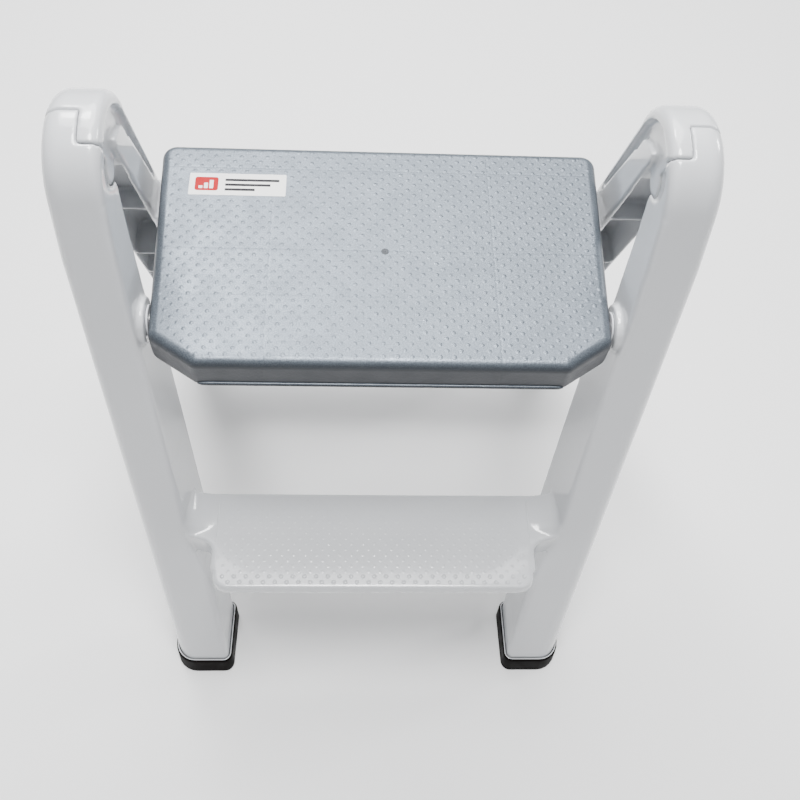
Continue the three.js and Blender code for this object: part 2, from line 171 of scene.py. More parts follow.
def rounded(corners, radii, steps=6):
    """A closed outline through the corners, each rounded with its own radius."""
    outline = []
    for index, radius in enumerate(radii):
        here = Vector(corners[index])
        back = (Vector(corners[index - 1]) - here).normalized()
        ahead = (Vector(corners[(index + 1) % len(corners)]) - here).normalized()
        half = back.angle(ahead) / 2
        centre = here + (back + ahead).normalized() * (radius / math.sin(half))
        start = here + back * (radius / math.tan(half)) - centre
        end = here + ahead * (radius / math.tan(half)) - centre
        turn = math.atan2(start.x * end.y - start.y * end.x, start.dot(end))
        for step in range(steps + 1):
            outline.append(centre + Matrix.Rotation(turn * step / steps, 2) @ start)
    return outline


def inset(outline, distance):
    """The same outline moved inwards, for one that runs anticlockwise."""
    moved = []
    for index, point in enumerate(outline):
        along = (outline[(index + 1) % len(outline)] - outline[index - 1]).normalized()
        moved.append(point + Vector((-along.y, along.x)) * distance)
    return moved


def loft(name, rings):
    """A closed solid through rings of 3-D points, with flat ends."""
    shape = bmesh.new()
    rows = [[shape.verts.new(point) for point in ring] for ring in rings]
    for low, high in zip(rows, rows[1:]):
        for index in range(len(low)):
            after = (index + 1) % len(low)
            shape.faces.new((low[index], low[after], high[after], high[index]))
    shape.faces.new(rows[0][::-1])
    shape.faces.new(rows[-1])
    return from_bmesh(name, shape)


def level(outline, z):
    return [Vector((point.x, point.y, z)) for point in outline]


def side_prism(name, corners, x0, x1):
    """A side view in Y and Z, run along X."""
    return loft(name, [[Vector((x, y, z)) for y, z in corners] for x in (x0, x1)])


def box(name, low, high):
    corners = [(low[1], low[2]), (high[1], low[2]), (high[1], high[2]), (low[1], high[2])]
    return side_prism(name, corners, low[0], high[0])


def lathe_x(name, profile, centre, sides=96):
    """A solid of revolution about an axis along X, from its (x, radius) profile."""
    rings = []
    for x, radius in profile:
        rings.append([
            Vector((x, centre.y + radius * math.cos(angle), centre.z + radius * math.sin(angle)))
            for angle in (2 * math.pi * side / sides for side in range(sides))
        ])
    return loft(name, rings)


def rod(name, radius, x0, x1, centre, sides=96):
    return lathe_x(name, [(x0, radius), (x1, radius)], centre, sides)


def arc(centre_x, centre_r, radius, start, end, steps=6):
    """Points of a rounded edge for a lathe profile, angles in degrees."""
    return [
        (centre_x + radius * math.cos(math.radians(mix(start, end, step / steps))),
         centre_r + radius * math.sin(math.radians(mix(start, end, step / steps))))
        for step in range(steps + 1)
    ]


def pie(name, start, end, x0, x1):
    """A slice round the hinge axis, wide enough to hold the knuckle."""
    reach = 3 * KNUCKLE_RADIUS
    corners = [(HINGE.y, HINGE.z)]
    for step in range(9):
        angle = mix(start, end, step / 8)
        corners.append((HINGE.y + reach * math.cos(angle), HINGE.z + reach * math.sin(angle)))
    return side_prism(name, corners, x0, x1)


def bake_modifiers(piece):
    graph = bpy.context.evaluated_depsgraph_get()
    mesh = bpy.data.meshes.new_from_object(piece.evaluated_get(graph))
    piece.modifiers.clear()
    piece.data = mesh


def combine(base, operation, *tools):
    for tool in tools:
        modifier = base.modifiers.new(operation, "BOOLEAN")
        modifier.operation = operation
        modifier.solver = "MANIFOLD"
        modifier.object = tool
    bake_modifiers(base)
    for tool in tools:
        bpy.data.objects.remove(tool)
    return base


def join(base, *tools):
    return combine(base, "UNION", *tools)


def cut(base, *tools):
    return combine(base, "DIFFERENCE", *tools)


def overlap(base, *tools):
    return combine(base, "INTERSECT", *tools)


def mirrored(piece, name):
    """A copy on the other side of the plane x = 0."""
    shape = bmesh.new()
    shape.from_mesh(piece.data)
    bmesh.ops.scale(shape, vec=(-1, 1, 1), verts=shape.verts)
    bmesh.ops.reverse_faces(shape, faces=shape.faces)
    mesh = bpy.data.meshes.new(name)
    shape.to_mesh(mesh)
    shape.free()
    return make_object(name, mesh)


def shade(piece, sharp_angle=math.radians(35)):
    """Smooth shading, with flat faces kept flat and edges sharper than the angle kept crisp."""
    flat_angle = math.radians(0.5)
    shape = bmesh.new()
    shape.from_mesh(piece.data)
    bmesh.ops.remove_doubles(shape, verts=shape.verts, dist=0.005 * MM)
    bmesh.ops.dissolve_limit(shape, angle_limit=flat_angle, verts=shape.verts, edges=shape.edges)
    for face in shape.faces:
        face.smooth = True
    for edge in shape.edges:
        if len(edge.link_faces) == 2:
            edge.smooth = edge.calc_face_angle() < sharp_angle
    shape.to_mesh(piece.data)
    shape.free()
    weigh = piece.modifiers.new("flat_faces", "WEIGHTED_NORMAL")
    weigh.keep_sharp = True
    return piece


def moulded(piece):
    """Remeshes a solid, softens its edges, as a moulding's are, and thins out its flat areas."""
    remesh = piece.modifiers.new("remesh", "REMESH")
    remesh.mode = "VOXEL"
    remesh.voxel_size = MOULDING_VOXEL
    soften = piece.modifiers.new("soften", "SMOOTH")
    soften.factor = 0.5
    soften.iterations = MOULDING_PASSES
    bake_modifiers(piece)
    triangles = 2 * len(piece.data.polygons)
    thin = piece.modifiers.new("thin", "DECIMATE")
    thin.ratio = min(1, MOULDING_TRIANGLES / triangles)
    bake_modifiers(piece)
    for polygon in piece.data.polygons:
        polygon.use_smooth = True


# ---- materials --------------------------------------------------------------------------

def new_material(name, colour, roughness):
    material = bpy.data.materials.new(name)
    material.use_nodes = True
    shader = material.node_tree.nodes["Principled BSDF"]
    shader.inputs["Base Color"].default_value = (*colour, 1)
    shader.inputs["Roughness"].default_value = roughness
    return material, material.node_tree, shader


def add_noise(tree, scale, detail=3):
    place = tree.nodes.new("ShaderNodeTexCoord")
    noise = tree.nodes.new("ShaderNodeTexNoise")
    noise.inputs["Scale"].default_value = scale
    noise.inputs["Detail"].default_value = detail
    tree.links.new(place.outputs["Object"], noise.inputs["Vector"])
    return noise.outputs["Fac"]


NOISE_SPAN = (0.35, 0.65)          # most of the noise lies between these values


def vary_colour(tree, shader, factor, dark, light):
    ramp = tree.nodes.new("ShaderNodeValToRGB")
    ramp.color_ramp.elements[0].position = NOISE_SPAN[0]
    ramp.color_ramp.elements[1].position = NOISE_SPAN[1]
    ramp.color_ramp.elements[0].color = (*dark, 1)
    ramp.color_ramp.elements[1].color = (*light, 1)
    tree.links.new(factor, ramp.inputs["Fac"])
    tree.links.new(ramp.outputs["Color"], shader.inputs["Base Color"])


def vary_roughness(tree, shader, factor, low, high):
    spread = tree.nodes.new("ShaderNodeMapRange")
    spread.inputs["From Min"].default_value = NOISE_SPAN[0]
    spread.inputs["From Max"].default_value = NOISE_SPAN[1]
    spread.inputs["To Min"].default_value = low
    spread.inputs["To Max"].default_value = high
    tree.links.new(factor, spread.inputs["Value"])
    tree.links.new(spread.outputs["Result"], shader.inputs["Roughness"])


def add_bump(tree, shader, height, depth, strength=1.0, under=None):
    """Adds a bump of that depth in metres, over the bump before it if there is one."""
    bump = tree.nodes.new("ShaderNodeBump")
    bump.inputs["Distance"].default_value = depth
    bump.inputs["Strength"].default_value = strength
    tree.links.new(height, bump.inputs["Height"])
    if under:
        tree.links.new(under, bump.inputs["Normal"])
    tree.links.new(bump.outputs["Normal"], shader.inputs["Normal"])
    return bump.outputs["Normal"]


def white_plastic():
    material, tree, shader = new_material("white_plastic", (0.59, 0.603, 0.622), 0.2)
    shader.inputs["Coat Weight"].default_value = 0.6
    shader.inputs["Coat Roughness"].default_value = 0.04
    vary_colour(tree, shader, add_noise(tree, 5), (0.58, 0.593, 0.613), (0.605, 0.618, 0.638))
    vary_roughness(tree, shader, add_noise(tree, 12, 2), 0.18, 0.25)
    waviness = add_bump(tree, shader, add_noise(tree, 14, 0), 0.4 * MM, 0.3)
    add_bump(tree, shader, add_noise(tree, 1400), 0.01 * MM, 0.2, waviness)
    return material


def grid_line(tree, axis_value, place):
    """1 on a line of the rib grid, 0 away from it."""
    offset = tree.nodes.new("ShaderNodeMath")
    offset.operation = "SUBTRACT"
    offset.inputs[1].default_value = place
    tree.links.new(axis_value, offset.inputs[0])
    size = tree.nodes.new("ShaderNodeMath")
    size.operation = "ABSOLUTE"
    tree.links.new(offset.outputs[0], size.inputs[0])
    band = tree.nodes.new("ShaderNodeMapRange")
    band.interpolation_type = "SMOOTHSTEP"
    band.inputs["From Min"].default_value = 0
    band.inputs["From Max"].default_value = 1.6 * MM
    band.inputs["To Min"].default_value = 1
    band.inputs["To Max"].default_value = 0
    tree.links.new(size.outputs[0], band.inputs["Value"])
    return band.outputs["Result"]


def largest(tree, values):
    """The largest of several values."""
    result = values[0]
    for value in values[1:]:
        node = tree.nodes.new("ShaderNodeMath")
        node.operation = "MAXIMUM"
        tree.links.new(result, node.inputs[0])
        tree.links.new(value, node.inputs[1])
        result = node.outputs[0]
    return result


def paint_shaded_sides(tree, shader, colour):
    """Paints the sides a dark colour of their own, as painted shade. Faces that look up keep the
    grained one.
    """
    grained = shader.inputs["Base Color"].links[0].from_socket
    place = tree.nodes.new("ShaderNodeTexCoord")
    split = tree.nodes.new("ShaderNodeSeparateXYZ")
    share = tree.nodes.new("ShaderNodeMapRange")
    share.interpolation_type = "SMOOTHSTEP"
    share.inputs["From Min"].default_value = 0.2
    share.inputs["From Max"].default_value = 0.9
    blend = tree.nodes.new("ShaderNodeMixRGB")
    blend.inputs["Color1"].default_value = (*colour, 1)
    tree.links.new(place.outputs["Normal"], split.inputs["Vector"])
    tree.links.new(split.outputs["Z"], share.inputs["Value"])
    tree.links.new(share.outputs["Result"], blend.inputs["Fac"])
    tree.links.new(grained, blend.inputs["Color2"])
    tree.links.new(blend.outputs["Color"], shader.inputs["Base Color"])


def grey_plastic(sinks=True):
    """Silvery plastic with a fine grain, its sides darkened with painted shade. The ribs below show
    as faint sink lines.
    """
    name = "grey_plastic" if sinks else "grey_plastic_bumps"
    material, tree, shader = new_material(name, (0.125, 0.147, 0.172), 0.4)
    shader.inputs["Metallic"].default_value = 0.6
    vary_colour(tree, shader, add_noise(tree, 1000, 2), (0.096, 0.114, 0.136), (0.158, 0.182, 0.21))
    vary_roughness(tree, shader, add_noise(tree, 60, 5), 0.35, 0.44)
    # painted shade: faces that do not look up are given a dark colour
    paint_shaded_sides(tree, shader, (0.045, 0.048, 0.054))
    grain = add_bump(tree, shader, add_noise(tree, 480, 4), 0.2 * MM, 0.7)
    if sinks:
        place = tree.nodes.new("ShaderNodeTexCoord")
        split = tree.nodes.new("ShaderNodeSeparateXYZ")
        tree.links.new(place.outputs["Object"], split.inputs["Vector"])
        lines = [grid_line(tree, split.outputs["X"], x) for x in TOP_SINK_COLUMNS]
        lines += [grid_line(tree, split.outputs["Y"], y) for y in TOP_RIB_ROWS]
        add_bump(tree, shader, largest(tree, lines), -0.16 * MM, 0.6, grain)
    return material


def rubber():
    material, tree, shader = new_material("shoe_rubber", (0.003, 0.0023, 0.002), 0.55)
    shader.inputs["Specular IOR Level"].default_value = 0.06
    mottle = add_noise(tree, 30, 4)
    vary_colour(tree, shader, mottle, (0.002, 0.0015, 0.0013), (0.0045, 0.0034, 0.003))
    vary_roughness(tree, shader, add_noise(tree, 60, 5), 0.45, 0.65)
    add_bump(tree, shader, add_noise(tree, 700), 0.1 * MM, 0.5)
    return material


def steel():
    material, tree, shader = new_material("pin_steel", (0.62, 0.62, 0.63), 0.32)
    shader.inputs["Metallic"].default_value = 1
    vary_roughness(tree, shader, add_noise(tree, 300, 4), 0.25, 0.42)
    add_bump(tree, shader, add_noise(tree, 1200), 0.02 * MM, 0.3)
    return material


def inner_plastic():
    material, tree, shader = new_material("inner_plastic", (0.6, 0.62, 0.65), 0.42)
    vary_colour(tree, shader, add_noise(tree, 40), (0.57, 0.59, 0.62), (0.63, 0.65, 0.68))
    add_bump(tree, shader, add_noise(tree, 900), 0.05 * MM, 0.4)
    return material


def print_material(name, colour, roughness=0.55):
    material, tree, shader = new_material(name, colour, roughness)
    shader.inputs["Specular IOR Level"].default_value = 0.12
    vary_roughness(tree, shader, add_noise(tree, 120, 3), roughness - 0.05, roughness + 0.08)
    add_bump(tree, shader, add_noise(tree, 600), 0.02 * MM, 0.3)
    return material


WHITE = white_plastic()
GREY = grey_plastic()
GREY_BUMPS = grey_plastic(sinks=False)
RUBBER = rubber()
STEEL = steel()
INNER = inner_plastic()


def finish_piece(piece, body, material, replaces=()):
    piece.data.materials.clear()
    piece.data.materials.append(material)
    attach(piece, body)
    if replaces:
        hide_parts(*replaces)


# ---- front frame ------------------------------------------------------------------------

def front_leg_inner(z):
    return mix(FOOT_INNER, KNUCKLE_INNER, min(z / HINGE.z, 1))


def front_leg_crease(z):
    """Where the leg's front face meets its inner face. The leg widens under the lower step."""
    above = mix(171 * MM, KNUCKLE_INNER, (z - 226 * MM) / (305 * MM))
    below = mix(151 * MM, 154.5 * MM, (z - 24 * MM) / (80 * MM))
    return mix(below, above, smooth_share(z, *FLARE))


def front_leg_outer(z):
    return mix(FOOT_OUTER, KNUCKLE_OUTER, min(z / FULL_WIDTH_HEIGHT, 1))


def front_leg_depth(z):
    return mix(LOWER_DEPTH, UPPER_DEPTH, smooth_share(z, *DEPTH_STEP)) / math.cos(FRONT_LEAN)


def front_leg_outline(z):
    front = front_leg_y(KNUCKLE_RADIUS, z)
    back = front + front_leg_depth(z)
    crease = min(front_leg_crease(z), KNUCKLE_INNER)
    corners = [
        (crease, front),
        (front_leg_outer(z), front),
        (front_leg_outer(z), back),
        (front_leg_inner(z), back),
    ]
    outer_radius = mix(18, 14, z / HINGE.z) * MM
    return rounded(corners, [6 * MM, outer_radius, 5 * MM, 4 * MM])


def knuckle(name):
    """The whole rounded knuckle, before it is divided between the two frames."""
    inner_edge = 7 * MM
    outer_edge = 14 * MM
    profile = [(KNUCKLE_INNER, 1 * MM)]
    profile += arc(KNUCKLE_INNER + inner_edge, KNUCKLE_RADIUS - inner_edge, inner_edge, 180, 90)
    profile += arc(KNUCKLE_OUTER - outer_edge, KNUCKLE_RADIUS - outer_edge, outer_edge, 90, 0, 10)
    profile.append((KNUCKLE_OUTER, 1 * MM))
    return lathe_x(name, profile, HINGE, 160)


def channel(outline, bottom, top, pitch):
    """Pockets of a leg's open channel, with cross ribs between them."""
    count = round((top - bottom) / pitch)
    height = (top - bottom) / count
    rib = 2.4 * MM
    pockets = []
    for index in range(count):
        low = bottom + index * height
        rings = [level(outline(z), z) for z in (low, low + height - rib)]
        pockets.append(loft("pocket", rings))
    return pockets


def front_pocket(z):
    back = front_leg_y(KNUCKLE_RADIUS, z) + front_leg_depth(z)
    front = front_leg_y(KNUCKLE_RADIUS, z) + WALL + 1 * MM
    inner_front = min(front_leg_crease(z), KNUCKLE_INNER) + WALL
    corners = [
        (inner_front, front),
        (front_leg_outer(z) - WALL, front),
        (front_leg_outer(z) - WALL, back + 12 * MM),
        (front_leg_inner(z) + WALL - (inner_front - front_leg_inner(z)) * 0.1, back + 12 * MM),
    ]
    return rounded(corners, [4 * MM, 11 * MM, 2 * MM, 2 * MM], 3)


def hub_seat():
    """The opening in the leg's inner side for the hub. It widens forward into a cove."""
    radius = HUB_RADIUS + 1.2 * MM
    seat = rod("seat", radius, KNUCKLE_INNER - WALL, LAP_MIDDLE, HINGE)
    mouth_centre = HINGE + Vector((0, -16, 19)) * MM
    stations = [
        (KNUCKLE_INNER - 1 * MM, radius + 3.6 * MM, 1.1),
        (KNUCKLE_INNER, radius + 3 * MM, 1),
        (PANEL_FLOOR + 1 * MM, radius, 0),
    ]
    rings = []
    for x, size, share in stations:
        centre = HINGE.lerp(mouth_centre, share)
        rings.append([
            Vector((x, centre.y + size * math.cos(angle), centre.z + size * math.sin(angle)))
            for angle in (2 * math.pi * side / 64 for side in range(64))
        ])
    return seat, loft("mouth", rings)


def front_leg():
    heights = [LEG_END, 24 * MM, 60 * MM, 104 * MM]
    heights += [mix(*FLARE, step / 6) for step in range(7)]
    heights += [300 * MM, 380 * MM]
    heights += [mix(388 * MM, FRONT_CHANNEL_TOP, step / 5) for step in range(6)]
    heights += [470 * MM, FULL_WIDTH_HEIGHT, LEG_TOP]
    leg = loft("front_leg", [level(front_leg_outline(z), z) for z in heights])
    outer_half = join(
        rod("core", CORE_RADIUS, LAP_MIDDLE, KNUCKLE_OUTER + WALL, HINGE),
        pie("outer_pie", OUTER_SEAM, math.pi, LAP_MIDDLE, KNUCKLE_OUTER + WALL))
    inner_half = pie("inner_pie", INNER_SEAM, math.pi, KNUCKLE_INNER - WALL, LAP_MIDDLE + WALL)
    part = overlap(knuckle("front_knuckle"), join(outer_half, inner_half))
    boss = rod("boss", BOSS_RADIUS, BOSS_INNER, front_leg_inner(PIVOT.z) + 8 * MM, PIVOT)
    leg = join(leg, part, boss)
    cap_low, cap_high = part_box("hinge_cap_right")
    cap_recess = (cap_high.z - cap_low.z) / 2 + 0.4 * MM
    recess = rod("recess", cap_recess, cap_low.x, KNUCKLE_OUTER + WALL, HINGE)
    pockets = channel(front_pocket, CHANNEL_BOTTOM, FRONT_CHANNEL_TOP, 57 * MM)
    pockets += channel(front_pocket, *FRONT_POCKET_HEIGHTS, 38 * MM)
    return cut(leg, *hub_seat(), recess, *pockets)


def lower_outline(setback=0.0):
    front = LOW_FRONT + setback
    corners = [
        (-LOW_FRONT_HALF, front), (LOW_FRONT_HALF, front),
        (LOW_HALF, LOW_BACK), (-LOW_HALF, LOW_BACK),
    ]
    return rounded(corners, [13 * MM, 13 * MM, 3 * MM, 3 * MM])


def lower_tread():
    """The lower step: a tray with a rounded nose and front corners."""
    rings = [level(inset(lower_outline(LOW_UNDERCUT), 0.6 * MM), LOW_UNDER)]
    for step in range(9):
        angle = math.radians(mix(-20, 90, step / 8))
        height = LOW_TREAD - LOW_NOSE + LOW_NOSE * math.sin(angle)
        rings.append(level(inset(lower_outline(), LOW_NOSE * (1 - math.cos(angle)) * 0.3), height))
    return loft("lower_tread", rings)


def web():
    """The fillet that runs from the tread's end out to the leg's inner face."""
    leg_side = front_leg_crease(LOW_TREAD) + 4 * MM
    leg_front = front_leg_y(KNUCKLE_RADIUS, LOW_TREAD)
    tread_side = LOW_HALF - 0.5 * MM
    corners = [
        (tread_side - 12 * MM, LOW_FRONT + 18 * MM),
        (tread_side, LOW_FRONT + 18 * MM),
        (tread_side, leg_front - 8 * MM),
        (leg_side - 4 * MM, leg_front - 2 * MM),
        (leg_side, leg_front + 6 * MM),
        (leg_side, LOW_BACK - 1 * MM),
        (tread_side - 12 * MM, LOW_BACK - 1 * MM),
    ]
    radii = [1 * MM, 1 * MM, 11 * MM, 3 * MM, 4 * MM, 1 * MM, 1 * MM]
    outline = rounded(corners, radii)
    rings = [level(outline, LOW_UNDER + 1 * MM), level(outline, LOW_TREAD - 2 * MM)]
    rings.append(level(inset(outline, 0.8 * MM), LOW_TREAD - 0.3 * MM))
    return loft("web", rings)


def cove():
    """The hollow that sweeps from the tread's end up to the leg's inner face."""
    side = front_leg_crease(LOW_TREAD)
    width = side - TREAD_LINE_X
    height = 19 * MM
    sunk = LOW_TREAD - 3 * MM
    last = math.radians(70)
    profile = [(side + 4 * MM, sunk), (side + 4 * MM, LOW_TREAD + height)]
    for step in range(11):
        angle = last * step / 10
        profile.append((side - width * (1 - math.cos(angle)) / (1 - math.cos(last)),
                        LOW_TREAD + height * (1 - math.sin(angle) / math.sin(last))))
    profile.append((side - width, sunk))
    front = front_leg_y(KNUCKLE_RADIUS, LOW_TREAD)
    stations = [(0.3, front + 1 * MM), (0.65, front + 6 * MM), (0.9, front + 12 * MM)]
    stations += [(1, front + 20 * MM), (1, LOW_BACK - 1.5 * MM)]
    return loft("cove", [
        [Vector((x, y, mix(sunk, z, share))) for x, z in profile] for share, y in stations])


def tray_pockets(xs, ys, bottom, ceiling, rib, keep=None):
    pockets = []
    for x0, x1 in zip(xs, xs[1:]):
        for y0, y1 in zip(ys, ys[1:]):
            if keep is None or keep(max(abs(x0), abs(x1)), y0):
                low = (x0 + rib / 2, y0 + rib / 2, bottom)
                high = (x1 - rib / 2, y1 - rib / 2, ceiling)
                pockets.append(box("pocket", low, high))
    return pockets


def build_front_frame():
    leg = front_leg()
    side = join(leg, web(), cove())
    pocket_half = LOW_FRONT_HALF - 2.5 * WALL
    xs = [mix(-pocket_half, pocket_half, step / 6) for step in range(7)]
    ys = [mix(LOW_FRONT + LOW_UNDERCUT + WALL, LOW_BACK - WALL, step / 2) for step in range(3)]
    rib = 2.6 * MM
    whole = join(side, mirrored(side, "left_side"), lower_tread())
    cut(whole, *tray_pockets(xs, ys, LOW_UNDER - 1 * MM, LOW_TREAD - WALL, rib))
    moulded(whole)
    whole.name = "front_moulding"
    finish_piece(whole, "front", WHITE, ["front_frame"])


def build_tread_lines():
    """The fine raised line on each side, where the coves meet the flat tread."""
    half_width = 0.7 * MM
    height = 0.45 * MM
    back = LOW_BACK - 3 * MM
    front = LOW_FRONT + 38 * MM
    for side, name in ((1, "right"), (-1, "left")):
        rings = []
        for y, size in ((front, 0.1), (front + 12 * MM, 1), (back - 4 * MM, 1), (back, 0.3)):
            ring = []
            for step in range(7):
                angle = math.pi * step / 6
                x = side * TREAD_LINE_X + size * half_width * math.cos(angle)
                ring.append(Vector((x, y, LOW_TREAD - 0.1 * MM + size * height * math.sin(angle))))
            rings.append(ring)
        line = shade(loft(f"tread_line_{name}", rings), math.radians(60))
        finish_piece(line, "front", WHITE)


# ---- rear frame -------------------------------------------------------------------------

def rear_leg_outline(z):
    front = rear_leg_y(REAR_FRONT_OFFSET, z)
    back = rear_leg_y(REAR_BACK_OFFSET, z)
    corners = [
        (KNUCKLE_INNER, front), (KNUCKLE_OUTER, front),
        (KNUCKLE_OUTER, back), (KNUCKLE_INNER, back),
    ]
    return rounded(corners, [4 * MM, 6 * MM, 14 * MM, 7 * MM])


def rear_pocket(back_offset):
    def outline(z):
        front = rear_leg_y(REAR_FRONT_OFFSET, z) - 12 * MM
        back = rear_leg_y(back_offset, z)
        corners = [
            (KNUCKLE_INNER + WALL, front), (KNUCKLE_OUTER - WALL, front),
            (KNUCKLE_OUTER - WALL, back), (KNUCKLE_INNER + WALL, back),
        ]
        return rounded(corners, [1 * MM, 1 * MM, 9 * MM, 4 * MM], 3)
    return outline


def rear_dish():
    """The sunk panel on a knuckle's inner side. It narrows to a slit beside the box section."""
    slit = 34 * MM
    slit_back = 44 * MM
    slit_end = 118 * MM
    x0 = KNUCKLE_INNER - WALL
    panel_centre = HINGE + Vector((0, 3, -1)) * MM
    panel = 41 * MM
    profile = [(x0, panel), (KNUCKLE_INNER + 1 * MM, panel), (PANEL_FLOOR, panel - 1.5 * MM)]
    lowest = -REAR_LEAN - math.pi / 4
    highest = INNER_SEAM + math.radians(4)
    dish = overlap(
        lathe_x("panel", profile, panel_centre),
        pie("panel_pie", lowest, highest, x0 - WALL, PANEL_FLOOR + WALL))
    dish = join(dish, rod("hub_end", HUB_RADIUS + 6 * MM, x0, PANEL_FLOOR, HINGE))
    box_front = REAR_FRONT_OFFSET + 1 * MM
    shoulder = rounded([
        (slit, 5 * MM), (slit, slit_end), (box_front, slit_end),
        (box_front, -6 * MM), (box_front + 4 * MM, -12 * MM), (slit - 7 * MM, -3 * MM),
    ], [radius * MM for radius in (5, 1, 1, 2, 2, 5)])
    box_side = [rear_leg_point(*corner) for corner in shoulder]
    cut(dish, side_prism("box_section", box_side, x0 - WALL, PANEL_FLOOR + WALL))
    corners = [(slit, 0), (slit_back, 0), (slit_back, slit_end), (slit_back - 2 * MM, slit_end)]
    slit_side = [rear_leg_point(*corner) for corner in corners]
    return join(dish, side_prism("slit", slit_side, x0, PANEL_FLOOR))


def rear_leg():
    heights = (LEG_END, 200 * MM, 400 * MM, LEG_TOP)
    leg = loft("rear_leg", [level(rear_leg_outline(z), z) for z in heights])
    seam_gap = 0.8 * MM / KNUCKLE_RADIUS
    inner_end = LAP_MIDDLE - LAP_GAP
    inner_half = join(
        rod("hub", HUB_RADIUS, KNUCKLE_INNER - WALL, inner_end, HINGE),
        pie("inner_pie", 0, INNER_SEAM - seam_gap, KNUCKLE_INNER - WALL, inner_end))
    outer_half = pie("outer_pie", 0, OUTER_SEAM - seam_gap, inner_end - WALL, KNUCKLE_OUTER + WALL)
    part = overlap(knuckle("rear_knuckle"), join(inner_half, outer_half))
    seat = rod("seat", CORE_RADIUS + 1.2 * MM, inner_end, KNUCKLE_OUTER + WALL, HINGE)
    deep_pocket = rear_pocket(REAR_BACK_OFFSET - WALL)
    pockets = channel(deep_pocket, CHANNEL_BOTTOM, REAR_CHANNEL_TOP, 54 * MM)
    pockets += channel(deep_pocket, *REAR_POCKET_HEIGHTS, 106 * MM)
    pockets += channel(rear_pocket(BOX_BACK_OFFSET), *BOX_POCKET_HEIGHTS, 82 * MM)
    return cut(join(leg, part), seat, rear_dish(), *pockets)


def cross_rail(bottom, top):
    """A rail between the rear legs, leaning with them, ribbed on its front face."""
    half = KNUCKLE_INNER + 3 * MM
    half_rib = 1.3 * MM
    open_front = REAR_FRONT_OFFSET - 12 * MM

    def outline(x0, x1, front_offset, back_offset, radius):
        def at(z):
            front = rear_leg_y(front_offset, z)
            back = rear_leg_y(back_offset, z)
            return rounded([(x0, front), (x1, front), (x1, back), (x0, back)], [radius] * 4, 2)
        return at

    whole = outline(-half, half, REAR_FRONT_OFFSET, REAR_BACK_OFFSET - 1 * MM, 1 * MM)
    rail = loft("rail", [level(whole(z), z) for z in (bottom, top)])
    xs = [mix(-KNUCKLE_INNER, KNUCKLE_INNER, step / 7) for step in range(8)]
    pockets = []
    for x0, x1 in zip(xs, xs[1:]):
        pocket = outline(
            x0 + half_rib, x1 - half_rib, open_front, REAR_BACK_OFFSET - WALL, 3 * MM)
        pockets.append(loft("pocket", [level(pocket(z), z) for z in (bottom + WALL, top - WALL)]))
    return cut(rail, *pockets)


def build_rear_frame():
    leg = rear_leg()
    rail_top = TOP_LOW.z - 0.8 * MM
    rail_height = 42 * MM
    low_rail = 104 * MM
    whole = join(
        leg, mirrored(leg, "left_leg"),
        cross_rail(rail_top - rail_height, rail_top), cross_rail(low_rail, low_rail + rail_height))
    moulded(whole)
    whole.name = "rear_moulding"
    finish_piece(whole, "rear", WHITE, ["rear_frame"])


# ---- top step ---------------------------------------------------------------------------

def top_outline():
    right = [
        (FRONT_HALF - CHAMFER_X, TOP_LOW.y),
        (FRONT_HALF, TOP_LOW.y + CHAMFER_Y),
        (TOP_HIGH.x, TOP_HIGH.y),
    ]
    left = [(-x, y) for x, y in reversed(right)]
    return rounded(right + left, [9 * MM, 9 * MM, 12 * MM, 12 * MM, 9 * MM, 9 * MM])


def build_top_step():
    outline = top_outline()
    edge = 8.5 * MM
    under = TOP_LOW.z
    rings = [
        level(inset(outline, 1.6 * MM), under),
        level(inset(outline, 0.7 * MM), under + 0.5 * MM),
        level(inset(outline, 0.2 * MM), under + 2 * MM),
        level(outline, under + 5 * MM),
    ]
    for step in range(11):
        angle = math.radians(90 * step / 10)
        height = TREAD_TOP - edge + edge * math.sin(angle)
        rings.append(level(inset(outline, edge * (1 - math.cos(angle))), height))
    step_solid = loft("top_step_moulding", rings)
    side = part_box("step_pivot_pin_right")[0].x + 4.3 * MM
    xs = [-side] + [column * TOP_RIB_PITCH for column in range(-3, 4)] + [side]
    chamfer_end = TOP_LOW.y + CHAMFER_Y
    ys = [TOP_LOW.y + WALL, chamfer_end, *TOP_RIB_ROWS, TOP_HIGH.y - WALL]
    pockets = tray_pockets(
        xs, ys, under - 1 * MM, TREAD_TOP - WALL, 2.2 * MM,
        lambda reach, y: y >= chamfer_end - 1e-6 or reach < FRONT_HALF - CHAMFER_X)
    bore = rod("bore", 6.3 * MM, side - 4 * MM, TOP_HIGH.x, PIVOT, 32)
    cut(step_solid, mirrored(bore, "left_bore"), bore, *pockets)
    shade(step_solid, math.radians(30))
    finish_piece(step_solid, "step", GREY, ["top_step"])


def build_front_lip():
    """The thin bead along the bottom of the top step's front edge."""
    half = FRONT_HALF - CHAMFER_X - 4 * MM
    y = TOP_LOW.y - 0.2 * MM
    z = TOP_LOW.z + 2 * MM
    left_end = [(-half - 3 * MM, 0.3), (-half, 0.9), (-half + 4 * MM, 1)]
    right_end = [(-x, size) for x, size in reversed(left_end)]
    rings = []
    for x, size in left_end + right_end:
        rings.append([
            Vector((x, y + size * 1.5 * MM * math.cos(angle), z + size * 1.9 * MM * math.sin(angle)))
            for angle in (2 * math.pi * side / 14 for side in range(14))
        ])
    lip = shade(loft("top_step_lip", rings), math.radians(50))
    finish_piece(lip, "step", GREY_BUMPS)


# ---- bumps on the treads ----------------------------------------------------------------

def inside(outline, x, y):
    """True if the point is inside a convex outline that runs anticlockwise."""
    for index, start in enumerate(outline):
        side = outline[(index + 1) % len(outline)] - start
        if side.x * (y - start.y) - side.y * (x - start.x) < 0:
            return False
    return True


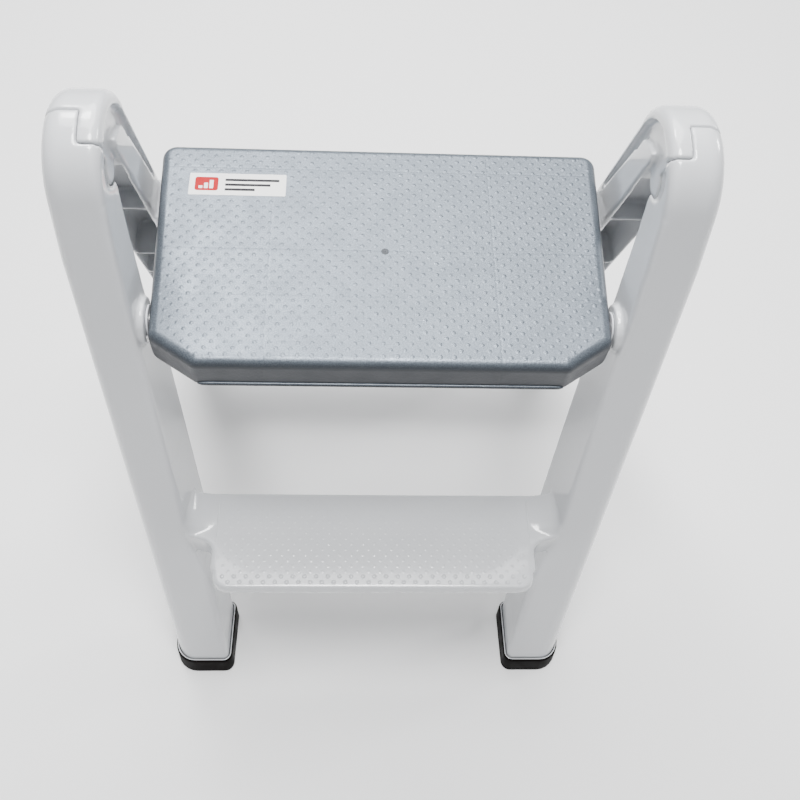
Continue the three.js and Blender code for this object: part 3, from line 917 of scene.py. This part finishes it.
BUMP_PROFILE = [(1.2, -0.08), (1, 0.12), (0.75, 0.5), (0.5, 0.82), (0.2, 0.98)]
GATE_PROFILE = [(1.2, -0.08), (1, 0.35), (0.75, 0.6), (0.55, 0.3), (0.35, 0.2)]
GATE_PROFILE += [(0.25, 0.7), (0.1, 0.75)]
GATE = Vector((2 * MM, -23 * MM))


def add_mound(shape, place, radius, height, profile, sides=12):
    """A small round form from its (radius, height) profile, both as shares."""
    rings = []
    for size, rise in profile:
        ring = []
        for side in range(sides):
            angle = 2 * math.pi * side / sides
            offset = Vector((
                radius * size * math.cos(angle), radius * size * math.sin(angle), height * rise))
            ring.append(shape.verts.new(place + offset))
        rings.append(ring)
    for low, high in zip(rings, rings[1:]):
        for side in range(sides):
            after = (side + 1) % sides
            shape.faces.new((low[side], low[after], high[after], high[side]))
    shape.faces.new(rings[-1])


def smooth_surface(name, shape):
    mesh = bpy.data.meshes.new(name)
    shape.to_mesh(mesh)
    shape.free()
    for polygon in mesh.polygons:
        polygon.use_smooth = True
    return make_object(name, mesh)


def bumps(name, outline, z, radius, height, skip=None):
    """Rows of low round bumps, staggered, over a flat outline."""
    last_row = 30
    last_column = 20
    shape = bmesh.new()
    middle = sum(point.y for point in outline) / len(outline)
    for row in range(-last_row, last_row + 1):
        y = (row + 0.5) * BUMP_PITCH_Y + middle
        for column in range(-last_column, last_column + 1):
            x = (column + 0.5 * (row % 2)) * BUMP_PITCH_X
            if inside(outline, x, y) and not (skip and skip(x, y)):
                add_mound(shape, Vector((x, y, z)), radius, height, BUMP_PROFILE)
    return smooth_surface(name, shape)


def rectangle(half_width, front, back):
    corners = ((-half_width, front), (half_width, front), (half_width, back), (-half_width, back))
    return [Vector(corner) for corner in corners]


def build_bumps():
    label_low, label_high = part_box("label_plate")
    margin = 2.5 * MM
    gate_clearance = 6 * MM

    def taken(x, y):
        under_label = (label_low.x - margin < x < label_high.x + margin
                       and label_low.y - margin < y < label_high.y + margin)
        return under_label or (Vector((x, y)) - GATE).length < gate_clearance

    tread = inset(top_outline(), 7.5 * MM)
    top = bumps("top_tread_bumps", tread, TREAD_TOP, 1.7 * MM, 0.3 * MM, taken)
    finish_piece(top, "step", GREY_BUMPS)
    shape = bmesh.new()
    gate_place = Vector((*GATE, TREAD_TOP))
    add_mound(shape, gate_place, 2.6 * MM, 0.6 * MM, GATE_PROFILE, 20)
    scar = print_material("gate_scar", (0.07, 0.076, 0.085), 0.4)
    finish_piece(smooth_surface("top_gate_mark", shape), "step", scar)
    half = LOW_FRONT_HALF - 9 * MM
    front = LOW_FRONT + 3.8 * MM
    back = front + 2 * BUMP_PITCH_Y
    field = rectangle(half, back + 1 * MM, LOW_BACK - 7 * MM)
    low = bumps("lower_tread_bumps", field, LOW_TREAD, 1.6 * MM, 0.13 * MM)
    finish_piece(low, "front", WHITE)
    rows = bumps("lower_nose_bumps", rectangle(half, front, back), LOW_TREAD, 2 * MM, 0.75 * MM)
    finish_piece(rows, "front", WHITE)


# ---- shoes, caps and pins ---------------------------------------------------------------

def shoe(name, outline, body, node, height):
    """A rubber shoe with a rounded sole edge and rim."""
    sections = [
        (0, 1.4 * MM), (0.5 * MM, 0.5 * MM), (1.6 * MM, 0),
        (height - 2.2 * MM, 0), (height - 0.8 * MM, 0.3 * MM), (height, 1 * MM),
    ]
    rings = []
    for z, setback in sections:
        rings.append(level(inset(outline(z), setback - SHOE_WALL), z))
    outside = loft(name, rings)
    heights = (4 * MM, height + 1 * MM)
    cut(outside, loft("socket", [level(inset(outline(z), -0.3 * MM), z) for z in heights]))
    shade(outside, math.radians(40))
    finish_piece(outside, body, RUBBER, [node])


def bead(name, outline, body, z):
    """The frame's light bead above a shoe, a closed ring with an oval section. Its white also serves
    as a painted highlight along the shoe's rim.
    """
    sides = 8
    shape = bmesh.new()
    rows = []
    for side in range(sides):
        angle = 2 * math.pi * side / sides
        grow = 1.5 * MM + 0.6 * MM * math.cos(angle)
        ring = level(inset(outline(z), -grow), z + 0.7 * MM * math.sin(angle))
        rows.append([shape.verts.new(point) for point in ring])
    for low_row, high_row in zip(rows, rows[1:] + rows[:1]):
        for index in range(len(low_row)):
            after = (index + 1) % len(low_row)
            shape.faces.new((low_row[index], low_row[after], high_row[after], high_row[index]))
    ring_piece = shade(from_bmesh(name, shape), math.radians(60))
    finish_piece(ring_piece, body, WHITE)


def left_of(outline):
    """The same outline on the left-hand side, still anticlockwise."""
    def at(z):
        return [Vector((-point.x, point.y)) for point in reversed(outline(z))]
    return at


def build_shoes():
    for side in ("right", "left"):
        for body, leg_outline in (("front", front_leg_outline), ("rear", rear_leg_outline)):
            outline = leg_outline if side == "right" else left_of(leg_outline)
            node = f"foot_{body}_{side}"
            low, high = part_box(node)
            height = high.z - low.z + SHOE_LIP
            shoe(f"{body}_shoe_{side}", outline, body, node, height)
            # painted highlight, in part: the white bead gives the bright line along the shoe's rim
            bead(f"{body}_shoe_{side}_bead", outline, body, height + 0.2 * MM)


def build_caps():
    low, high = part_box("hinge_cap_right")
    radius = (high.z - low.z) / 2
    profile = [(low.x, 0.5 * MM), (low.x, radius)]
    profile += arc(KNUCKLE_OUTER - 2.2 * MM, radius - 2 * MM, 2 * MM, 90, 20, 5)
    profile += [
        (KNUCKLE_OUTER - 0.6 * MM, radius - 3.5 * MM),
        (KNUCKLE_OUTER - 1.2 * MM, radius - 5 * MM),
        (KNUCKLE_OUTER - 1 * MM, 4 * MM),
        (KNUCKLE_OUTER - 1 * MM, 0.5 * MM),
    ]
    right = shade(lathe_x("hinge_cover_right", profile, HINGE, 64))
    left = shade(mirrored(right, "hinge_cover_left"))
    finish_piece(right, "front", WHITE, ["hinge_cap_right"])
    finish_piece(left, "front", WHITE, ["hinge_cap_left"])


def finish_cad_nodes():
    """The small inner pieces stay as they are, with softened edges."""
    for name, node in frame["nodes"].items():
        if "pin" in name:
            material = STEEL
        elif "washer" in name or "catch" in name:
            material = INNER
        else:
            continue
        node.data.materials.clear()
        node.data.materials.append(material)
        bevel = node.modifiers.new("edge", "BEVEL")
        bevel.width = 0.35 * MM
        bevel.segments = 2
        bevel.limit_method = "ANGLE"


# ---- label ------------------------------------------------------------------------------

def build_label():
    """A plain sticker with a stair sign and three bars, and no lettering."""
    low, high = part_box("label_plate")
    paper = print_material("label_paper", (0.82, 0.82, 0.81), 0.5)
    red = print_material("label_red", (0.36, 0.008, 0.012))
    dark = print_material("label_dark", (0.025, 0.025, 0.028))
    pale = print_material("label_pale", (0.8, 0.8, 0.79))

    def plate(name, corners, z, thickness, radius, material, replaces=()):
        outline = rounded(corners, [radius] * len(corners), 4)
        solid = loft(name, [level(outline, z), level(outline, z + thickness)])
        finish_piece(shade(solid), "step", material, replaces)

    def area(x0, y0, x1, y1):
        shares = ((x0, y0), (x1, y0), (x1, y1), (x0, y1))
        return [(mix(low.x, high.x, x), mix(low.y, high.y, y)) for x, y in shares]

    base = TREAD_TOP - 0.1 * MM
    plate("label_sheet", area(0, 0, 1, 1), base, 0.25 * MM, 1 * MM, paper, ["label_plate"])
    ink = base + 0.24 * MM
    plate("label_badge", area(0.06, 0.2, 0.3, 0.82), ink, 0.05 * MM, 2 * MM, red)
    for index in range(3):
        left = 0.1 + 0.055 * index
        plate(f"label_stair_{index + 1}", area(left, 0.3, left + 0.04, 0.42 + 0.13 * index),
              ink + 0.04 * MM, 0.04 * MM, 0.3 * MM, pale)
    for index, (top, right) in enumerate(((0.76, 0.93), (0.54, 0.84), (0.32, 0.68))):
        plate(f"label_bar_{index + 1}", area(0.37, top - 0.11, right, top),
              ink, 0.05 * MM, 0.4 * MM, dark)


# ---- camera, floor and light ------------------------------------------------------------

def build_camera():
    camera = bpy.data.cameras.new("camera")
    camera.sensor_width = 36
    camera.lens = 42.56
    eye = make_object("camera", camera)
    down, across, roll = (math.radians(angle) for angle in (60.27, 6.25, 6.1))
    turn = (Matrix.Rotation(-across, 4, "Z") @ Matrix.Rotation(math.pi / 2 - down, 4, "X")
            @ Matrix.Rotation(roll, 4, "Z"))
    place = (-0.02496, -0.48979, 1.04994)
    eye.matrix_world = Matrix.Translation(place) @ turn
    bpy.context.scene.camera = eye


def build_floor():
    bpy.ops.mesh.primitive_plane_add(size=40)
    floor = bpy.context.object
    floor.name = "floor"
    material, tree, shader = new_material("floor", (0.93, 0.93, 0.93), 0.6)
    vary_roughness(tree, shader, add_noise(tree, 3), 0.55, 0.7)
    floor.data.materials.append(material)


def area_light(name, place, target, size, power):
    lamp = bpy.data.lights.new(name, "AREA")
    lamp.shape = "DISK"
    lamp.size = size
    lamp.energy = power
    light = make_object(name, lamp)
    light.location = place
    light.rotation_euler = (Vector(target) - Vector(place)).to_track_quat("-Z", "Y").to_euler()


def build_light():
    world = bpy.data.worlds.new("studio")
    bpy.context.scene.world = world
    world.use_nodes = True
    background = world.node_tree.nodes["Background"]
    background.inputs["Color"].default_value = (0.95, 0.97, 1, 1)
    background.inputs["Strength"].default_value = 0.26
    area_light("ceiling", (-0.1, 1.2, 2.3), (0, -0.05, 0.4), 2.0, 92)
    area_light("key", (-0.55, 1.0, 2.0), (-0.1, -0.05, 0.46), 0.45, 16)
    area_light("overhead", (0, -0.25, 2.6), (0, -0.15, 0.2), 0.9, 84)
    area_light("side", (2.3, 1.0, 1.25), (0, 0, 0.4), 0.4, 18)


# ---- the stool --------------------------------------------------------------------------

build_camera()
build_floor()
build_light()
build_front_frame()
build_tread_lines()
build_rear_frame()
build_top_step()
build_front_lip()
build_bumps()
build_shoes()
build_caps()
finish_cad_nodes()
build_label()
